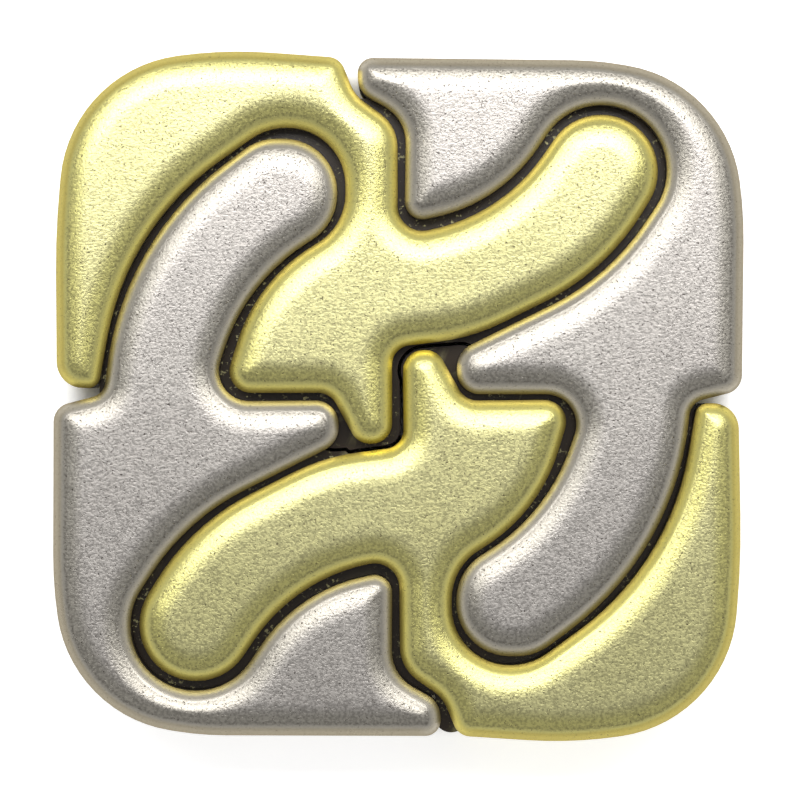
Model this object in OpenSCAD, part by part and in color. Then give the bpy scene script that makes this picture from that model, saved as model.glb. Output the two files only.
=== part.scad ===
// Four-piece interlocking metal puzzle, shown closed and lying flat.
// Two gold castings and two silver castings tile a rounded square.
// Each metal has one outline; its second casting is the first one turned
// half a turn about the middle, and a little further, as the lower pair lies
// within its play. A lip and ledges low on the gold castings close the gaps
// and reach under the silver ones, so the silver castings lift off first.
// Origin: middle of the underside. +X and +Y along the edges, +Z out of the front face.

/* [Castings] */
// Thickness of the closed puzzle, front face to underside
thickness = 10; // [9:0.5:12]
// Radius of the rounding along every edge of a face
edge_radius = 0.8; // [0.4:0.1:0.8]
// Number of steps that make up the rounding
edge_steps = 3; // [2:1:5]
// Most that one straight facet turns on a rounded stretch, in degrees
facet_turn = 9; // [6:1:15]
// Most that a facet stands off the true curve
facet_sag = 0.01; // [0.01:0.01:0.05]
// How far the lower pair of castings lies turned within its play, in degrees
lie = 0.5; // [0:0.25:0.5]

/* [Ledges] */
// Height of the top of the ledges and the lip
ledge_top = 7; // [5:0.5:7.5]
// Height of the underside of the ledges and the lip
ledge_bottom = 2; // [1.5:0.5:3.5]
// How far the lip reaches past the edge of a gold casting
lip = 1; // [0.6:0.1:1]
// Clearance round a ledge or the lip
fit = 0.25; // [0.15:0.05:0.3]

/* [Hidden] */
gold_colour = [0.80, 0.74, 0.40];
silver_colour = [0.72, 0.71, 0.70];
// The pockets start below the underside, so that they cut right through it.
pocket_start = -1;
// Facets of the round end of a ledge
end_facets = 48;

// Corners of the gold outline at upper left, counter-clockwise: [x, y, radius].
gold_corners = [
    // slim tip that runs down the left side
    [-24.75, 0.65, 1.9], [-21.75, 0.65, 0.9],
    // inner side of the tip, then round the pocket for the silver lobe
    [-19.6, 12.4, 20], [-9.5, 19.55, 4.5], [-3.8, 19.55, 4.2], [-3.8, 12.35, 4.2],
    // shoulder below the pocket
    [-10.2, 8.65, 12.6], [-12.8, 0.3, 1.6],
    // spike beside the middle
    [-4.9, 0.3, 1.5], [-2.9, -3.4, 1.5], [-0.4, -3.4, 1.5], [-0.4, 3.6, 1.4],
    // lower side of the arm, its round end and its upper side
    [5.4, 4.3, 14.5], [15.1, 9.1, 17.4], [18.9, 15.2, 4.1], [18.9, 20.5, 4.1], [12.6, 20.5, 4.1],
    [7.5, 13.1, 13.2], [0, 11.7, 1.8],
    // neck up to the notch in the upper edge
    [0, 19.7, 3], [-3.1, 21.9, 2.9], [-4.2, 24.65, 1.3],
    // outer edge
    [-12.5, 25.25, 32], [-23.75, 23.75, 9.8], [-24.85, 12.1, 64]
];

// Corners of the silver outline at upper right, counter-clockwise: [x, y, radius].
silver_corners = [
    // spike that points left along the upper edge
    [-2.9, 24.65, 1.1], [-2.9, 22.2, 1.7], [0.6, 20.2, 3], [0.5, 12.6, 1.3],
    // side that follows the gold arm
    [7.45, 14.05, 12], [12.3, 21.2, 4.7], [19.55, 21.2, 4.7], [19.55, 15, 4.7], [15.3, 8.7, 17.4],
    // tip beside the middle
    [4.3, 3.3, 1.9], [4.3, 0.2, 1.7],
    // inner side of the tail
    [13.8, 0.2, 2.2], [10.95, -8.5, 14.5],
    // round end of the tail and its outer side
    [4.25, -12.6, 3.9], [4.25, -18.8, 3.9], [9.95, -18.85, 3.9], [20.1, -11.3, 21.8],
    // notch in the right edge
    [21.3, -0.4, 1.3], [25, 0.5, 1.4],
    // outer edge
    [25.15, 13.5, 30], [23.85, 22.85, 9.8], [14.5, 24.45, 23]
];

// Ledges of every gold casting, in its own place: [one end, other end, width].
gold_ledges = [
    [[-3.4, 12.8], [-3.4, 16.6], 4.4],
    [[-10.6, 2.1], [-8.9, 6.6], 5.2],
    [[-1.9, -1.9], [-4.6, -2.1], 3.3],
    [[17.2, 12.6], [18.4, 15.6], 3.6],
    [[1.9, 12.4], [4.6, 12.9], 3.2]
];
// The lower right gold casting has one more, which fills its notch.
notch_ledge = [[-3.9, 21.6], [-3.7, 23.3], 2.5];
lower_gold_ledges = concat(gold_ledges, [notch_ledge]);
// Square that the lips stay inside, clear of the notches in the outer edge.
lip_square = [[21.8, 21.8, 6], [-21.8, 21.8, 6], [-21.8, -21.8, 6], [21.8, -21.8, 6]];

function toward(p, q) = (q - p) / norm(q - p);
function left_of(u) = [-u[1], u[0]];
function turn_between(u, v) = atan2(u[0] * v[1] - u[1] * v[0], u * v);
function turned(v, a) = [v[0] * cos(a) - v[1] * sin(a), v[0] * sin(a) + v[1] * cos(a)];
function place(corner) = [corner[0], corner[1]];

// Points of the arc that rounds the corner at v between the directions u_in and u_out.
function corner_arc(v, u_in, u_out, radius) =
    let (
        turn = turn_between(u_in, u_out),
        start = v - u_in * radius * tan(abs(turn) / 2),
        centre = start + left_of(u_in) * radius * sign(turn),
        facet = min(facet_turn, 2 * acos(1 - min(1, facet_sag / radius))),
        steps = max(2, ceil(abs(turn) / facet))
    )
    [for (i = [0 : steps]) centre + turned(start - centre, turn * i / steps)];

// Outline through a list of rounded corners, moved inwards by inset.
function outline(corners, inset) =
    let (n = len(corners))
    [
        for (i = [0 : n - 1])
        let (
            v = place(corners[i]),
            u_in = toward(place(corners[(i + n - 1) % n]), v),
            u_out = toward(v, place(corners[(i + 1) % n])),
            shift = inset * (left_of(u_in) + left_of(u_out)) / (1 + u_in * u_out),
            radius = corners[i][2] - inset * sign(turn_between(u_in, u_out))
        )
        each corner_arc(v + shift, u_in, u_out, radius)
    ];

// Slab of a casting with one step of its edge rounding on both faces.
module rounded_slab(corners) {
    for (i = [0 : edge_steps]) {
        a = 90 * i / edge_steps;
        margin = edge_radius * (1 - sin(a));
        translate([0, 0, margin])
            linear_extrude(thickness - 2 * margin)
                polygon(outline(corners, edge_radius * (1 - cos(a))));
    }
}

// Bar with round ends, seen from above, grown by the clearance.
module round_bar(ledge, clearance) {
    width = ledge[2] + 2 * clearance;
    run = ledge[1] - ledge[0];
    translate(ledge[0])
        rotate(atan2(run[1], run[0])) {
            translate([0, -width / 2])
                square([norm(run), width]);
            circle(d = width, $fn = end_facets);
            translate([norm(run), 0])
                circle(d = width, $fn = end_facets);
        }
}

// Upright layer of the shape inside an outline, between two heights.
module layer(corners, inset, low, high) {
    translate([0, 0, low])
        linear_extrude(high - low)
            polygon(outline(corners, inset));
}

module bars(list, clearance, low, high) {
    translate([0, 0, low])
        linear_extrude(high - low)
            for (ledge = list)
                round_bar(ledge, clearance);
}

// Place of the lower pair of castings.
module lower() {
    rotate(180 + lie)
        children();
}

// A gold casting's outline grown to its lip.
module lip_layer(clearance, low, high) {
    layer(gold_corners, -lip - clearance, low, high);
}

// Only what lies inside the lip square, which the clearance grows.
module inside_square(clearance) {
    intersection() {
        layer(lip_square, -clearance, pocket_start, thickness);
        children();
    }
}

// Room for the lips and ledges of both gold castings.
module all_pockets() {
    pocket_top = ledge_top + fit;
    inside_square(fit) {
        union() {
            lip_layer(fit, pocket_start, pocket_top);
            lower()
                lip_layer(fit, pocket_start, pocket_top);
        }
    }
    bars(gold_ledges, fit, pocket_start, pocket_top);
    lower()
        bars(lower_gold_ledges, fit, pocket_start, pocket_top);
}

// Here the lip gives way to the lower gold casting and its ledges.
module gold_upper_left() {
    color(gold_colour) {
        rounded_slab(gold_corners);
        bars(gold_ledges, 0, ledge_bottom, ledge_top);
        difference() {
            inside_square(0)
                lip_layer(0, ledge_bottom, ledge_top);
            lower() {
                layer(gold_corners, -fit, pocket_start, thickness);
                bars(lower_gold_ledges, fit, pocket_start, thickness);
            }
        }
    }
}

// Here the lip gives way to the lip and the ledges of the upper gold casting.
module gold_lower_right() {
    color(gold_colour) {
        lower() {
            rounded_slab(gold_corners);
            bars(lower_gold_ledges, 0, ledge_bottom, ledge_top);
        }
        difference() {
            inside_square(0)
                lower()
                    lip_layer(0, ledge_bottom, ledge_top);
            lip_layer(fit, pocket_start, thickness);
            bars(gold_ledges, fit, pocket_start, thickness);
        }
    }
}

module silver_upper_right() {
    color(silver_colour)
        difference() {
            rounded_slab(silver_corners);
            all_pockets();
        }
}

module silver_lower_left() {
    color(silver_colour)
        difference() {
            lower()
                rounded_slab(silver_corners);
            all_pockets();
        }
}

gold_upper_left();
silver_upper_right();
gold_lower_right();
silver_lower_left();
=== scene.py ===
import math

import bmesh
import bpy
import numpy as np
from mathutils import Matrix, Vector
from mathutils.geometry import delaunay_2d_cdt


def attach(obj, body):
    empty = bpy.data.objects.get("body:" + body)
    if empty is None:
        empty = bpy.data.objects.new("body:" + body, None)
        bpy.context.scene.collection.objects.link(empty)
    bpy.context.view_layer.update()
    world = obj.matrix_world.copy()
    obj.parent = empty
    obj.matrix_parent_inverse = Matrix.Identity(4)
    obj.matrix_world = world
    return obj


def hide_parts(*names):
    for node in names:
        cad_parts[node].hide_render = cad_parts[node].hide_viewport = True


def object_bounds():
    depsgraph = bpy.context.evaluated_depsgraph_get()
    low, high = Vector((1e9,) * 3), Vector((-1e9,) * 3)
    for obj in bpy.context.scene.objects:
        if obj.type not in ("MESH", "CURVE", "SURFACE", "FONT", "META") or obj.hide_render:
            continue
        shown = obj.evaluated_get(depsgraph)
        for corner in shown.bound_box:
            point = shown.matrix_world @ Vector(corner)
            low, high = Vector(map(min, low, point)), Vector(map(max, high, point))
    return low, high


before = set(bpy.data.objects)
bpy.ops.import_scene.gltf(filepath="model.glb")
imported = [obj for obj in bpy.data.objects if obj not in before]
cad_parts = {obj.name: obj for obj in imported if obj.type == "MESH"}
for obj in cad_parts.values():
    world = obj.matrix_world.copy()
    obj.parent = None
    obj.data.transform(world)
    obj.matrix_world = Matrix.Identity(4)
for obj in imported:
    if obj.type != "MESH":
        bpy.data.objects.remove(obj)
CAD_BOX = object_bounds()

# Sizes and places are in millimetres here, and become metres where they go to Blender.
MM = 0.001
SAME_POINT = 1e-3          # two points closer than this are one
STRAIGHT = 0.003           # a corner that turns less than this lies on a straight side, in radians

# The cast edge: how steep a face is, in degrees, at each distance in from its edge
EDGE_TILTS = ((0, 43), (0.15, 43), (0.3, 41), (0.5, 35), (0.7, 28), (0.9, 20),
              (1.2, 17.5), (1.5, 14.5), (1.8, 10), (2.1, 5), (2.5, 0))
PROFILE_POINTS = 1000      # points at which the edge's shape is worked out
# Distances in from the edge at which the mesh of a face has a ring of points
RING_DEPTHS = (0.012, 0.035, 0.08, 0.15, 0.24, 0.34, 0.45, 0.57, 0.7, 0.84)
RING_SHARE = 0.97          # a ring's point stays if it is this share of its depth from the edge
OUTLINE_STEP = 0.28        # longest side along an outline
FRONT_STEP = 0.17          # spacing of the mesh on the front face
BACK_STEP = 0.24           # and on the back face
STEPS_FROM_RINGS = 0.7     # spacings between the last ring and the rest of the mesh
SOFTENING_PASSES = 3
SOFTENED_FROM = 1.0        # the rim closer to the edge than this stays as it is
SHARP_EDGE = math.radians(50)
# A wall is divided at these distances from a rim, as its colours change down to the last one
WALL_DIVISIONS = (0.05, 1.6)

# The part of the height at each face that the edge takes up, where no ledge or pocket begins
EDGE_SHARE = 0.1
PLAIN_SHARE = 0.85         # part of the height, above the ledges, for neighbours' outlines
DIRT_AND_SHADE_REACH = (0.9, 2.6)    # painted shade and dirt in the gaps fade out between these distances from a neighbouring casting

# Where each look of a casting goes from none to full, as distances in from its edge.
# Numbers below zero are distances down its wall.
RIM = (0.90, 0.70)
RUBBED = (-1.1, -0.4)
# partly the rubbed rim's own tone and partly a painted reflection: a warmer, more saturated rim,
# as the neighbouring gold reflected in it
WEAR_AND_REFLECTION = (0.85, 0.25)
# painted shade: a darker, browner line along the outermost rim; on silver its warm tone is also a
# painted reflection of the gold
BRINK_SHADE = (0.3, 0.0)
# painted shade: the outer rims, away from neighbouring castings, are darkened
OUTER_RIM_SHADE = (0.75, 0.45)
# painted shade: a dark line along the crease where the rim meets the slope
CREASE_SHADE_INSIDE = (0.78, 0.9)
CREASE_SHADE_OUTSIDE = (1.15, 0.95)
# the band between the rim and the flat takes the slope tone, a darker, more saturated copy of the
# metal: painted shade
FLAT = (1.2, 2.4)
WALL = (-0.4, -1.1)
# the painted shade and dirt in the gaps grow from none to full between these depths down a wall
DEEP_WALL = (-0.4, -1.6)

# The marks in the metal: how large each is, and the levels of its noise from none to full
GRAIN_SIZE = 0.18
GRAIN = (0.3, 0.7)
FLECKS = (0.60, 0.36)
PIT_SIZE = 0.15
PITS = (0.655, 0.73)
PATCH_SIZE = 9
PATCHES = (0.3, 0.7)
SPECK_SIZE = 0.3
SPECKS = (0.58, 0.66)
SPECK_GROUP_SIZE = 3
SPECK_GROUPS = (0.45, 0.6)
MARK_SCALE = (0.92, 1, 1)  # below 1, the marks are longer along that axis

# How much each mark shows in the colour, and what is left of it on the rubbed rim
FLECK_WEIGHT = 0.30
FLECKS_ON_RIM = 0.3
PIT_WEIGHT = 0.75
PITS_ON_RIM = 0.5
# how dark the painted shade along the crease is
CREASE_SHADE_WEIGHT = 0.18
# how dark the painted shade on the outer rims is
OUTER_RIM_SHADE_WEIGHT = 0.8
# how much of the painted shade and dirt in the gaps the specks of bare metal leave out
GLINT_WEIGHT = 0.6

# The grain's height, how deep a pit is beside it, and what is left of both on the rim
GRAIN_HEIGHT = 0.026
PIT_DEPTH = 0.5
RELIEF_ON_RIM = 0.2

GRAIN_ROUGHNESS = 0.04     # how far the grain moves the roughness of the flat up and down
RIM_ROUGHNESS = (0.26, 0.34)
# the roughness where the painted shade and dirt in the gaps lie
DIRT_AND_SHADE_ROUGHNESS = 0.62
LACQUER_ROUGHNESS = 0.25
LACQUER_IOR = 1.6

# The floor: how far it lies below the castings, where its glow starts and where it is full
FLOOR_DROP = 0.02
FLOOR_HALF = 800
FLOOR_PATCH_SIZE = 40
FLOOR_TONES = (0.93, 0.95)
GLOW_EDGE = (23, 25.5)
GLOW_STRENGTH = 0.62

# The sky, which is brightest at the horizon: its two strengths, and the height (the Z of the
# direction) from which it is as dim as straight above
HORIZON_STRENGTH = 1.0
ZENITH_STRENGTH = 0.31
ZENITH_FROM = 0.8

# The camera: how wide its view is at the height of the rims, how far above them it stands,
# and where the middle of its view lies
VIEW_WIDTH = 58.1
VIEW_DISTANCE = 320
VIEW_MIDDLE = (0.17, -0.22)

# The softbox: how far from the middle towards the upper edge, how high, its sides, and watts
SOFTBOX_Y = 117.5
SOFTBOX_HEIGHT = 210
SOFTBOX_SIDES = (300, 145)
SOFTBOX_WATTS = 0.6

PIECES = {
    "gold_upper_left": "gold_plate",
    "silver_upper_right": "silver_plate",
    "gold_lower_right": "gold_plate",
    "silver_lower_left": "silver_plate",
}


# ---- outlines ---------------------------------------------------------------------------------

def cross(a, b):
    """The z of the cross product of two sets of flat vectors."""
    return a[..., 0] * b[..., 1] - a[..., 1] * b[..., 0]


def length(v):
    return np.hypot(v[..., 0], v[..., 1])


def straightened(points):
    """An outline, counter-clockwise, without the points along its straight sides."""
    if cross(points, np.roll(points, -1, axis=0)).sum() < 0:
        points = points[::-1]
    before = points - np.roll(points, 1, axis=0)
    points = points[length(before) > SAME_POINT]
    before = points - np.roll(points, 1, axis=0)
    after = np.roll(points, -1, axis=0) - points
    turn = cross(before, after) / (length(before) * length(after))
    return points[np.abs(turn) > STRAIGHT]


def walked(edges):
    """The corners of a closed chain of edges, in order."""
    links = {}
    for edge in edges:
        a, b = edge.verts
        links.setdefault(a, []).append(b)
        links.setdefault(b, []).append(a)
    start = next(iter(links))
    loop = [start]
    last, here = start, links[start][0]
    while here is not start:
        loop.append(here)
        step = [v for v in links[here] if v is not last][0]
        last, here = here, step
    return loop


def section(node, height):
    """The outline of a CAD node at a height."""
    solid = bmesh.new()
    solid.from_mesh(node.data)
    bmesh.ops.remove_doubles(solid, verts=solid.verts, dist=SAME_POINT * MM / 10)
    cut = bmesh.ops.bisect_plane(
        solid,
        geom=solid.verts[:] + solid.edges[:] + solid.faces[:],
        plane_co=(0, 0, height * MM),
        plane_no=(0, 0, 1),
    )
    edges = [e for e in cut["geom_cut"] if isinstance(e, bmesh.types.BMEdge)]
    points = np.array([v.co.xy for v in walked(edges)]) / MM
    solid.free()
    return straightened(points)


def step_heights(node, thickness):
    """The heights at which a CAD node's outline changes between its two rounded faces."""
    z = np.array([v.co.z for v in node.data.vertices]) / MM
    between = z[(z > EDGE_SHARE * thickness) & (z < (1 - EDGE_SHARE) * thickness)]
    return sorted(set(float(h) for h in np.round(between, 2)))


def with_corners_of(outline, others):
    """The outline with the corners of other outlines that lie on its sides added."""
    if not others:
        return outline
    corners = np.vstack(others)
    result = []
    for start, end in zip(outline, np.roll(outline, -1, axis=0)):
        side = end - start
        along = (corners - start) @ side / length(side)
        off = np.abs(cross(corners - start, side)) / length(side)
        inside = (along > SAME_POINT) & (along < length(side) - SAME_POINT)
        on = sorted(set(np.round(along[(off < SAME_POINT) & inside], 3)))
        result.append(start)
        result.extend(start + side * a / length(side) for a in on)
    return np.array(result)


def evenly(outline, step):
    """The outline with its long sides divided, so that none is longer than a step."""
    result = []
    for start, end in zip(outline, np.roll(outline, -1, axis=0)):
        count = max(1, math.ceil(length(end - start) / step))
        result.extend(start + (end - start) * i / count for i in range(count))
    return np.array(result)


def distance_to(points, outline):
    """How far each point is from an outline."""
    nearest = np.full(len(points), np.inf)
    for start, end in zip(outline, np.roll(outline, -1, axis=0)):
        side = end - start
        share = np.clip((points - start) @ side / (side @ side), 0, 1)
        nearest = np.minimum(nearest, length(points - start - share[:, None] * side))
    return nearest


def is_inside(points, outline):
    """Whether each point lies inside an outline."""
    inside = np.zeros(len(points), bool)
    for start, end in zip(outline, np.roll(outline, -1, axis=0)):
        if start[1] == end[1]:
            continue
        spans = (start[1] > points[:, 1]) != (end[1] > points[:, 1])
        x = start[0] + (points[:, 1] - start[1]) * (end[0] - start[0]) / (end[1] - start[1])
        inside ^= spans & (points[:, 0] < x)
    return inside


def inward(outline, depth):
    """The points of an outline moved inwards by a depth."""
    side = np.roll(outline, -1, axis=0) - outline
    normal = np.stack([-side[:, 1], side[:, 0]], axis=1) / length(side)[:, None]
    before = np.roll(normal, 1, axis=0)
    reach = depth / (1 + (normal * before).sum(axis=1))
    return outline + (normal + before) * reach[:, None]


def lattice(outline, step):
    """Points on a triangular lattice over an outline's box."""
    low, high = outline.min(axis=0), outline.max(axis=0)
    rise = step * math.sqrt(3) / 2
    rows = np.arange(low[1], high[1], rise)
    columns = np.arange(low[0], high[0], step)
    x, y = np.meshgrid(columns, rows)
    x = x + (np.arange(len(rows)) % 2)[:, None] * step / 2
    return np.stack([x.ravel(), y.ravel()], axis=1)


# ---- meshes -----------------------------------------------------------------------------------

def edge_drop(depth):
    """How much lower a cast face is than its flat middle, at a distance in from its edge."""
    places, tilts = zip(*EDGE_TILTS)
    at = np.linspace(0, places[-1], PROFILE_POINTS)
    rise = np.tan(np.radians(np.interp(at, places, tilts)))
    height = np.concatenate([[0], np.cumsum((rise[1:] + rise[:-1]) / 2 * np.diff(at))])
    return height[-1] - np.interp(depth, at, height)


def softened(heights, triangles, depth):
    """Heights with the ridges and shoulders of the slope rounded off."""
    edges = np.vstack([triangles[:, [0, 1]], triangles[:, [1, 2]], triangles[:, [2, 0]]])
    edges = np.unique(np.sort(edges, axis=1), axis=0)
    count = np.bincount(edges.ravel(), minlength=len(heights))
    share = np.clip((depth - SOFTENED_FROM) / SOFTENED_FROM, 0, 1)
    for _ in range(SOFTENING_PASSES):
        total = np.bincount(edges[:, 0], heights[edges[:, 1]], len(heights))
        total += np.bincount(edges[:, 1], heights[edges[:, 0]], len(heights))
        heights = heights + share * (total / count - heights)
    return heights


def triangulated(points, outline_count):
    """Triangles over points, of which the first ones are the outline round them."""
    vectors = [Vector(p) for p in points]
    faces = [list(range(outline_count))]
    found = delaunay_2d_cdt(vectors, [], faces, 1, SAME_POINT / 10)
    return np.array([p[:] for p in found[0]]), np.array(found[2])


def face_mesh(outline, corners, step):
    """A cast face over an outline: points, drop at each, distance from the edge, triangles."""
    rings = [inward(outline, depth) for depth in RING_DEPTHS]
    rings = [ring[distance_to(ring, corners) > RING_SHARE * depth]
             for ring, depth in zip(rings, RING_DEPTHS)]
    middle = lattice(outline, step)
    middle = middle[is_inside(middle, corners)]
    clear = RING_DEPTHS[-1] + step * STEPS_FROM_RINGS
    middle = middle[distance_to(middle, corners) > clear]
    points, triangles = triangulated(np.vstack([outline, *rings, middle]), len(outline))
    depth = distance_to(points, corners)
    drop = softened(edge_drop(depth), triangles, depth)
    return points, drop, depth, triangles


class Builder:
    """Collects the faces of one piece."""

    def __init__(self):
        self.points = []
        self.edge = []
        self.faces = []
        self.count = 0

    def add(self, flat, height, edge, faces):
        """Adds faces over flat points: height and edge hold one number or one for each point."""
        ones = np.ones(len(flat))
        self.points.append(np.column_stack([flat, ones * height]))
        self.edge.append(ones * edge)
        self.faces.extend([int(i) + self.count for i in f] for f in faces)
        self.count += len(flat)

    def mesh(self, name, dirt_and_shade):
        """The piece's mesh, where dirt_and_shade gives how much painted shade and dirt the walls
        get at each flat point.
        """
        points = np.vstack(self.points)
        edge = np.concatenate(self.edge)
        mesh = bpy.data.meshes.new(name)
        mesh.from_pydata(points * MM, [], self.faces)
        for title, values in (("edge", edge), ("dirt_and_shade", dirt_and_shade(points[:, :2]))):
            layer = mesh.attributes.new(title, "FLOAT", "POINT")
            layer.data.foreach_set("value", values.astype(np.float32))
        whole = bmesh.new()
        whole.from_mesh(mesh)
        bmesh.ops.remove_doubles(whole, verts=whole.verts, dist=SAME_POINT * MM)
        whole.to_mesh(mesh)
        whole.free()
        mesh.shade_smooth()
        mesh.set_sharp_from_angle(angle=SHARP_EDGE)
        return mesh


def add_wall(builder, outline, low, high, thickness):
    """The upright wall along an outline between two heights."""
    rim = edge_drop(0)
    above = [rim + part for part in WALL_DIVISIONS]
    below = [thickness - height for height in above]
    levels = [low, *sorted(height for height in above + below if low < height < high), high]
    count = len(outline)
    both = np.vstack([outline, outline])
    faces = [[i, (i + 1) % count, (i + 1) % count + count, i + count] for i in range(count)]
    for bottom, top in zip(levels, levels[1:]):
        heights = np.repeat([bottom, top], count)
        edge = -np.minimum(thickness - rim - heights, heights - rim)
        builder.add(both, heights, np.minimum(edge, 0), faces)


def add_step(builder, lower, upper, height, edge):
    """The level faces where the outline changes from one layer to the next."""
    points = [Vector(p) for p in np.vstack([lower, upper])]
    sides = [(i, (i + 1) % len(lower)) for i in range(len(lower))]
    sides += [(len(lower) + i, len(lower) + (i + 1) % len(upper)) for i in range(len(upper))]
    found = delaunay_2d_cdt(points, sides, [], 0, SAME_POINT / 10)
    flat = np.array([p[:] for p in found[0]])
    triangles = np.array(found[2])
    middles = flat[triangles].mean(axis=1)
    in_lower, in_upper = is_inside(middles, lower), is_inside(middles, upper)
    builder.add(flat, height, edge, triangles[in_lower & ~in_upper])
    builder.add(flat, height, edge, triangles[in_upper & ~in_lower][:, ::-1])


def casting_mesh(name, thickness, dirt_and_shade):
    """The finished shape of one casting, made along its CAD node's own outlines."""
    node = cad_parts[name]
    steps = step_heights(node, thickness)
    cuts = [EDGE_SHARE * thickness, *steps, (1 - EDGE_SHARE) * thickness]
    corners = [section(node, (a + b) / 2) for a, b in zip(cuts, cuts[1:])]
    outlines = []
    for i, outline in enumerate(corners):
        others = corners[:i] + corners[i + 1:]
        outlines.append(evenly(with_corners_of(outline, others), OUTLINE_STEP))
    rim = edge_drop(0)
    builder = Builder()
    levels = [rim, *steps, thickness - rim]
    for outline, low, high in zip(outlines, levels, levels[1:]):
        add_wall(builder, outline, low, high, thickness)
    for lower, upper, height in zip(outlines, outlines[1:], steps):
        add_step(builder, lower, upper, height, -min(height - rim, thickness - rim - height))
    flat, drop, depth, triangles = face_mesh(outlines[-1], corners[-1], FRONT_STEP)
    builder.add(flat, thickness - drop, depth, triangles)
    flat, drop, depth, triangles = face_mesh(outlines[0], corners[0], BACK_STEP)
    builder.add(flat, drop, depth, triangles[:, ::-1])
    return builder.mesh(name, dirt_and_shade)


def dirt_and_shade_near(outlines):
    """A function that says how much painted shade and dirt a wall gets at a point: most where a
    neighbour is close.
    """
    near, far = DIRT_AND_SHADE_REACH

    def dirt_and_shade(points):
        gap = np.min([distance_to(points, outline) for outline in outlines], axis=0)
        return np.clip((far - gap) / (far - near), 0, 1)

    return dirt_and_shade


# ---- materials --------------------------------------------------------------------------------

class Nodes:
    """A material's node tree, with short calls for the nodes that it uses."""

    def __init__(self, name):
        self.material = bpy.data.materials.new(name)
        self.material.use_nodes = True
        self.tree = self.material.node_tree
        self.tree.nodes.clear()

    def put(self, socket, value):
        """Sets a socket, or links another node's output to it."""
        if isinstance(value, bpy.types.NodeSocket):
            self.tree.links.new(value, socket)
        else:
            socket.default_value = value

    def node(self, kind, **inputs):
        node = self.tree.nodes.new(kind)
        for name, value in inputs.items():
            self.put(node.inputs[name.replace("_", " ")], value)
        return node

    def noise(self, vector, size, detail=2.0, roughness=0.5):
        """Noise whose broadest features have about a size."""
        node = self.node("ShaderNodeTexNoise", Vector=vector, Scale=1 / (size * MM), Detail=detail,
                         Roughness=roughness)
        return node.outputs["Fac"]

    def ramp(self, value, low, high, to_low=0.0, to_high=1.0):
        """The value's range from low to high, smoothly, as the range from to_low to to_high."""
        node = self.node("ShaderNodeMapRange", Value=value)
        node.interpolation_type = "SMOOTHSTEP"
        for name, number in (("From Min", low), ("From Max", high),
                             ("To Min", to_low), ("To Max", to_high)):
            node.inputs[name].default_value = number
        return node.outputs["Result"]

    def math(self, operation, a, b):
        node = self.tree.nodes.new("ShaderNodeMath")
        node.operation = operation
        self.put(node.inputs[0], a)
        self.put(node.inputs[1], b)
        return node.outputs[0]

    def mix(self, share, a, b):
        """A colour between two colours."""
        node = self.tree.nodes.new("ShaderNodeMix")
        node.data_type = "RGBA"
        self.put(node.inputs["Factor"], share)
        self.put(node.inputs[6], a)
        self.put(node.inputs[7], b)
        return node.outputs[2]

    def blend(self, share, a, b):
        """A number between two numbers."""
        node = self.tree.nodes.new("ShaderNodeMix")
        self.put(node.inputs["Factor"], share)
        self.put(node.inputs[2], a)
        self.put(node.inputs[3], b)
        return node.outputs[0]

    def attribute(self, name):
        node = self.tree.nodes.new("ShaderNodeAttribute")
        node.attribute_name = name
        return node.outputs["Fac"]

    def scaled(self, scale):
        """The place on the object, in metres, times a scale along each axis."""
        place = self.tree.nodes.new("ShaderNodeTexCoord").outputs["Object"]
        return self.node("ShaderNodeMapping", Vector=place, Scale=scale).outputs["Vector"]

    def finished(self, shader):
        """The material, with a shader as its surface."""
        out = self.tree.nodes.new("ShaderNodeOutputMaterial")
        self.put(out.inputs["Surface"], shader.outputs[0])
        return self.material


def zones(nodes):
    """Where each look of a casting lies, from 0 to 1."""
    edge = nodes.attribute("edge")
    crowded = nodes.attribute("dirt_and_shade")
    outer = nodes.math("SUBTRACT", 1, crowded)
    rubbed = nodes.ramp(edge, *RUBBED)
    # painted shade on the outer rims, away from neighbours
    outer_rim_shade = nodes.math("MULTIPLY", outer, nodes.ramp(edge, *OUTER_RIM_SHADE))
    # painted shade along the crease between rim and slope
    crease_shade = nodes.ramp(edge, *CREASE_SHADE_INSIDE)
    return {
        "rim": nodes.ramp(edge, *RIM),
        "wear_and_reflection": nodes.math("MULTIPLY", rubbed, nodes.ramp(edge, *WEAR_AND_REFLECTION)),
        "brink_shade": nodes.math("MULTIPLY", rubbed, nodes.ramp(edge, *BRINK_SHADE)),
        "outer_rim_shade": nodes.math("MULTIPLY", outer_rim_shade, rubbed),
        "crease_shade": nodes.math("MULTIPLY", crease_shade, nodes.ramp(edge, *CREASE_SHADE_OUTSIDE)),
        "flat_or_wall": nodes.math("ADD", nodes.ramp(edge, *FLAT), nodes.ramp(edge, *WALL)),
        # painted shade and dirt: the deep walls where a neighbour is close
        "gap": nodes.math("MULTIPLY", nodes.ramp(edge, *DEEP_WALL), crowded),
    }


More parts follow.
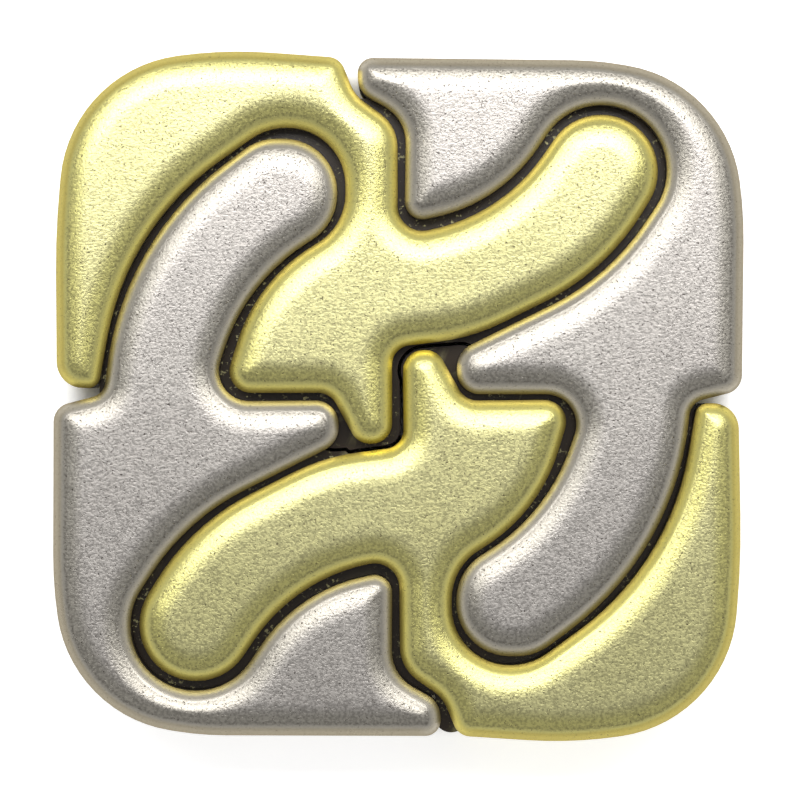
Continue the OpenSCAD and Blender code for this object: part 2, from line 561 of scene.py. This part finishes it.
def marks(nodes, zone):
    """The grain, the pits, the broad patches, and the painted shade and dirt in the gaps, with
    specks of bare metal left out of it.
    """
    place = nodes.scaled(MARK_SCALE)
    pits = nodes.ramp(nodes.noise(place, PIT_SIZE, detail=1, roughness=0.5), *PITS)
    specks = nodes.ramp(nodes.noise(place, SPECK_SIZE, detail=2.5, roughness=0.7), *SPECKS)
    groups = nodes.ramp(nodes.noise(place, SPECK_GROUP_SIZE), *SPECK_GROUPS, 0, GLINT_WEIGHT)
    plain = nodes.math("SUBTRACT", 1, nodes.math("MULTIPLY", specks, groups))
    return {
        "grain": nodes.noise(place, GRAIN_SIZE, detail=2.5, roughness=0.6),
        "pits": nodes.math("MULTIPLY", pits, nodes.blend(zone["rim"], 1.0, PITS_ON_RIM)),
        "patches": nodes.noise(place, PATCH_SIZE, detail=3, roughness=0.55),
        # painted shade and dirt in the gaps, less where specks of bare metal show
        "dirt_and_shade": nodes.math("MULTIPLY", zone["gap"], plain),
    }


def metal_colour(nodes, zone, mark, tones):
    """The colour of a casting, from the tones of its metal, with painted shade and a painted
    reflection mixed in.
    """
    flecks_and_crease_shade = nodes.ramp(mark["grain"], *FLECKS, 0, FLECK_WEIGHT)
    flecks_and_crease_shade = nodes.math("MULTIPLY", flecks_and_crease_shade, nodes.blend(zone["rim"], 1.0, FLECKS_ON_RIM))
    # painted shade: the crease line goes towards the dark tone with the flecks
    flecks_and_crease_shade = nodes.math("ADD", flecks_and_crease_shade, nodes.math("MULTIPLY", zone["crease_shade"], CREASE_SHADE_WEIGHT))
    pits = nodes.math("MULTIPLY", mark["pits"], PIT_WEIGHT)
    outer_rim_shade_share = nodes.math("MULTIPLY", zone["outer_rim_shade"], OUTER_RIM_SHADE_WEIGHT)
    colour = nodes.mix(nodes.ramp(mark["patches"], *PATCHES), tones["light"], tones["deep"])
    # painted shade: the sloped band takes a darker, more saturated copy of the metal
    colour = nodes.mix(zone["flat_or_wall"], tones["slope"], colour)
    # the rim's own tone with a painted reflection of the neighbouring gold
    colour = nodes.mix(zone["wear_and_reflection"], colour, tones["rim"])
    # painted shade along the outermost rim, with a painted reflection of the gold on silver
    colour = nodes.mix(zone["brink_shade"], colour, tones["brink_shade"])
    # painted shade: the outer rims go towards the darker edge tone
    colour = nodes.mix(outer_rim_shade_share, colour, tones["brink_shade"])
    colour = nodes.mix(flecks_and_crease_shade, colour, tones["dirt_and_shade"])
    colour = nodes.mix(pits, colour, tones["dirt_and_shade"])
    # painted shade and dirt: the gaps' deep walls take the dark tone
    return nodes.mix(mark["dirt_and_shade"], colour, tones["dirt_and_shade"])


def metal_roughness(nodes, zone, mark, flat_roughness):
    """The roughness of a casting, where that of its flat is given."""
    low, high = flat_roughness - GRAIN_ROUGHNESS, flat_roughness + GRAIN_ROUGHNESS
    flat = nodes.blend(nodes.ramp(mark["grain"], *GRAIN), low, high)
    rim = nodes.ramp(mark["patches"], *PATCHES, *RIM_ROUGHNESS)
    metal = nodes.blend(zone["rim"], flat, rim)
    return nodes.blend(mark["dirt_and_shade"], metal, DIRT_AND_SHADE_ROUGHNESS)


def metal_relief(nodes, zone, mark):
    """The normal of the blasted grain and its pits, which the rubbing has smoothed on the rim."""
    depth = nodes.math("MULTIPLY", mark["pits"], PIT_DEPTH)
    height = nodes.math("SUBTRACT", mark["grain"], depth)
    strength = nodes.blend(zone["rim"], 1.0, RELIEF_ON_RIM)
    full = GRAIN_HEIGHT * MM
    bump = nodes.node("ShaderNodeBump", Strength=strength, Distance=full, Height=height)
    return bump.outputs[0]


def plated_metal(name, tones, flat_roughness, lacquer):
    """Blasted and plated metal: a grainy flat; a burnished rim whose colour holds a painted
    reflection and painted shade; painted shade on the slope; and painted shade with dirt in the
    gaps.

    The lacquer is the weight of the clear coat.
    """
    nodes = Nodes(name)
    zone = zones(nodes)
    mark = marks(nodes, zone)
    rough = metal_roughness(nodes, zone, mark, flat_roughness)
    relief = metal_relief(nodes, zone, mark)
    shader = nodes.node("ShaderNodeBsdfPrincipled", Roughness=rough, Normal=relief)
    nodes.put(shader.inputs["Base Color"], metal_colour(nodes, zone, mark, tones))
    shader.inputs["Metallic"].default_value = 1.0
    shader.inputs["Coat Weight"].default_value = lacquer
    shader.inputs["Coat Roughness"].default_value = LACQUER_ROUGHNESS
    shader.inputs["Coat IOR"].default_value = LACQUER_IOR
    return nodes.finished(shader)


def gold_plate():
    tones = {
        "light": (0.79, 0.75, 0.37, 1),
        "deep": (0.74, 0.70, 0.33, 1),
        # painted shade: the slope tone, a darker, more saturated copy of the flat's colour
        "slope": (0.76, 0.71, 0.25, 1),
        # the rim's tone, more saturated as a painted reflection of gold in gold
        "rim": (0.76, 0.66, 0.14, 1),
        # painted shade: the darker tone of the outermost rim
        "brink_shade": (0.46, 0.37, 0.07, 1),
        # the dark tone of the flecks and pits, and of the painted shade and dirt in the gaps
        "dirt_and_shade": (0.040, 0.026, 0.014, 1),
    }
    return plated_metal("gold_plate", tones, flat_roughness=0.35, lacquer=0.7)


def silver_plate():
    tones = {
        "light": (0.605, 0.57, 0.53, 1),
        "deep": (0.57, 0.535, 0.50, 1),
        # painted shade: the slope tone, darker than the flat's colour
        "slope": (0.49, 0.46, 0.40, 1),
        # the rim's tone, warmed as a painted reflection of the neighbouring gold
        "rim": (0.56, 0.515, 0.42, 1),
        # painted shade and a painted reflection of the gold: the warm dark tone of the outermost
        # rim
        "brink_shade": (0.34, 0.295, 0.21, 1),
        # the dark tone of the flecks and pits, and of the painted shade and dirt in the gaps
        "dirt_and_shade": (0.036, 0.027, 0.021, 1),
    }
    return plated_metal("silver_plate", tones, flat_roughness=0.37, lacquer=0.0)


def pale_floor():
    """A plain matt surface with a faint unevenness, which glows a little round the object.

    The glow starts along a rounded square.
    """
    nodes = Nodes("pale_floor")
    place = nodes.scaled((1, 1, 1))
    patches = nodes.noise(place, FLOOR_PATCH_SIZE)
    tone = nodes.mix(patches, *[(level, level, level, 1) for level in FLOOR_TONES])
    axes = nodes.node("ShaderNodeSeparateXYZ", Vector=place)
    distances = [nodes.math("ABSOLUTE", axes.outputs[name], 0) for name in "XY"]
    fourths = [nodes.math("POWER", distance, 4) for distance in distances]
    from_middle = nodes.math("POWER", nodes.math("ADD", *fourths), 1 / 4)
    start, end = GLOW_EDGE
    glow = nodes.ramp(from_middle, start * MM, end * MM, 0, GLOW_STRENGTH)
    shader = nodes.node("ShaderNodeBsdfPrincipled", Roughness=0.8)
    nodes.put(shader.inputs["Base Color"], tone)
    nodes.put(shader.inputs["Emission Strength"], glow)
    shader.inputs["Emission Color"].default_value = (1, 1, 1, 1)
    return nodes.finished(shader)


# ---- the object -------------------------------------------------------------------------------

def add_castings():
    """The four castings, each in the place of its CAD node."""
    low, high = CAD_BOX
    thickness = (high[2] - low[2]) / MM
    finishes = {"gold_plate": gold_plate(), "silver_plate": silver_plate()}
    height = PLAIN_SHARE * thickness
    outlines = {name: section(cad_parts[name], height) for name in PIECES}
    for name, slot in PIECES.items():
        neighbours = [outline for other, outline in outlines.items() if other != name]
        mesh = casting_mesh(name, thickness, dirt_and_shade_near(neighbours))
        mesh.materials.append(finishes[slot])
        casting = bpy.data.objects.new(name + "_casting", mesh)
        bpy.context.scene.collection.objects.link(casting)
        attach(casting, name)
        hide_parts(name)


# ---- the studio -------------------------------------------------------------------------------

def add_floor():
    """A floor just below the castings' undersides, so that no two faces lie in one plane."""
    mesh = bpy.data.meshes.new("floor")
    half = FLOOR_HALF * MM
    z = -FLOOR_DROP * MM
    corners = [(-half, -half, z), (half, -half, z), (half, half, z), (-half, half, z)]
    mesh.from_pydata(corners, [], [(0, 1, 2, 3)])
    mesh.materials.append(pale_floor())
    floor = bpy.data.objects.new("floor", mesh)
    bpy.context.scene.collection.objects.link(floor)


def add_softbox(name, place, target, width, height, watts):
    """A rectangular area light at a place, facing a target."""
    light = bpy.data.lights.new(name, "AREA")
    light.shape = "RECTANGLE"
    light.size = width
    light.size_y = height
    light.energy = watts
    softbox = bpy.data.objects.new(name, light)
    softbox.location = place
    softbox.rotation_euler = (Vector(target) - Vector(place)).to_track_quat("-Z", "Y").to_euler()
    bpy.context.scene.collection.objects.link(softbox)


def add_world():
    """A white sky, brightest at the horizon."""
    world = bpy.data.worlds.new("studio")
    world.use_nodes = True
    nodes = world.node_tree.nodes
    nodes["Background"].inputs["Color"].default_value = (1, 1, 1, 1)
    direction = nodes.new("ShaderNodeTexCoord").outputs["Generated"]
    axes = nodes.new("ShaderNodeSeparateXYZ")
    strength = nodes.new("ShaderNodeMapRange")
    strength.interpolation_type = "SMOOTHSTEP"
    for name, number in (("From Min", 0), ("From Max", ZENITH_FROM),
                         ("To Min", HORIZON_STRENGTH), ("To Max", ZENITH_STRENGTH)):
        strength.inputs[name].default_value = number
    links = world.node_tree.links
    links.new(direction, axes.inputs[0])
    links.new(axes.outputs["Z"], strength.inputs["Value"])
    links.new(strength.outputs["Result"], nodes["Background"].inputs["Strength"])
    bpy.context.scene.world = world


def add_lights():
    """One softbox beyond the upper edge, facing straight down."""
    y = SOFTBOX_Y * MM
    width, depth = SOFTBOX_SIDES
    place = (0, y, SOFTBOX_HEIGHT * MM)
    add_softbox("key_softbox", place, (0, y, 0), width * MM, depth * MM, SOFTBOX_WATTS)


def add_camera():
    """Straight above the front face."""
    x, y = VIEW_MIDDLE
    rim_height = CAD_BOX[1][2] - edge_drop(0) * MM
    camera = bpy.data.cameras.new("camera")
    camera.sensor_width = 36
    camera.lens = camera.sensor_width * VIEW_DISTANCE / VIEW_WIDTH
    camera.clip_end = 10
    eye = bpy.data.objects.new("camera", camera)
    eye.location = (x * MM, y * MM, rim_height + VIEW_DISTANCE * MM)
    bpy.context.scene.collection.objects.link(eye)
    bpy.context.scene.camera = eye


bpy.context.scene.view_settings.view_transform = "Standard"
add_castings()
add_floor()
add_world()
add_lights()
add_camera()
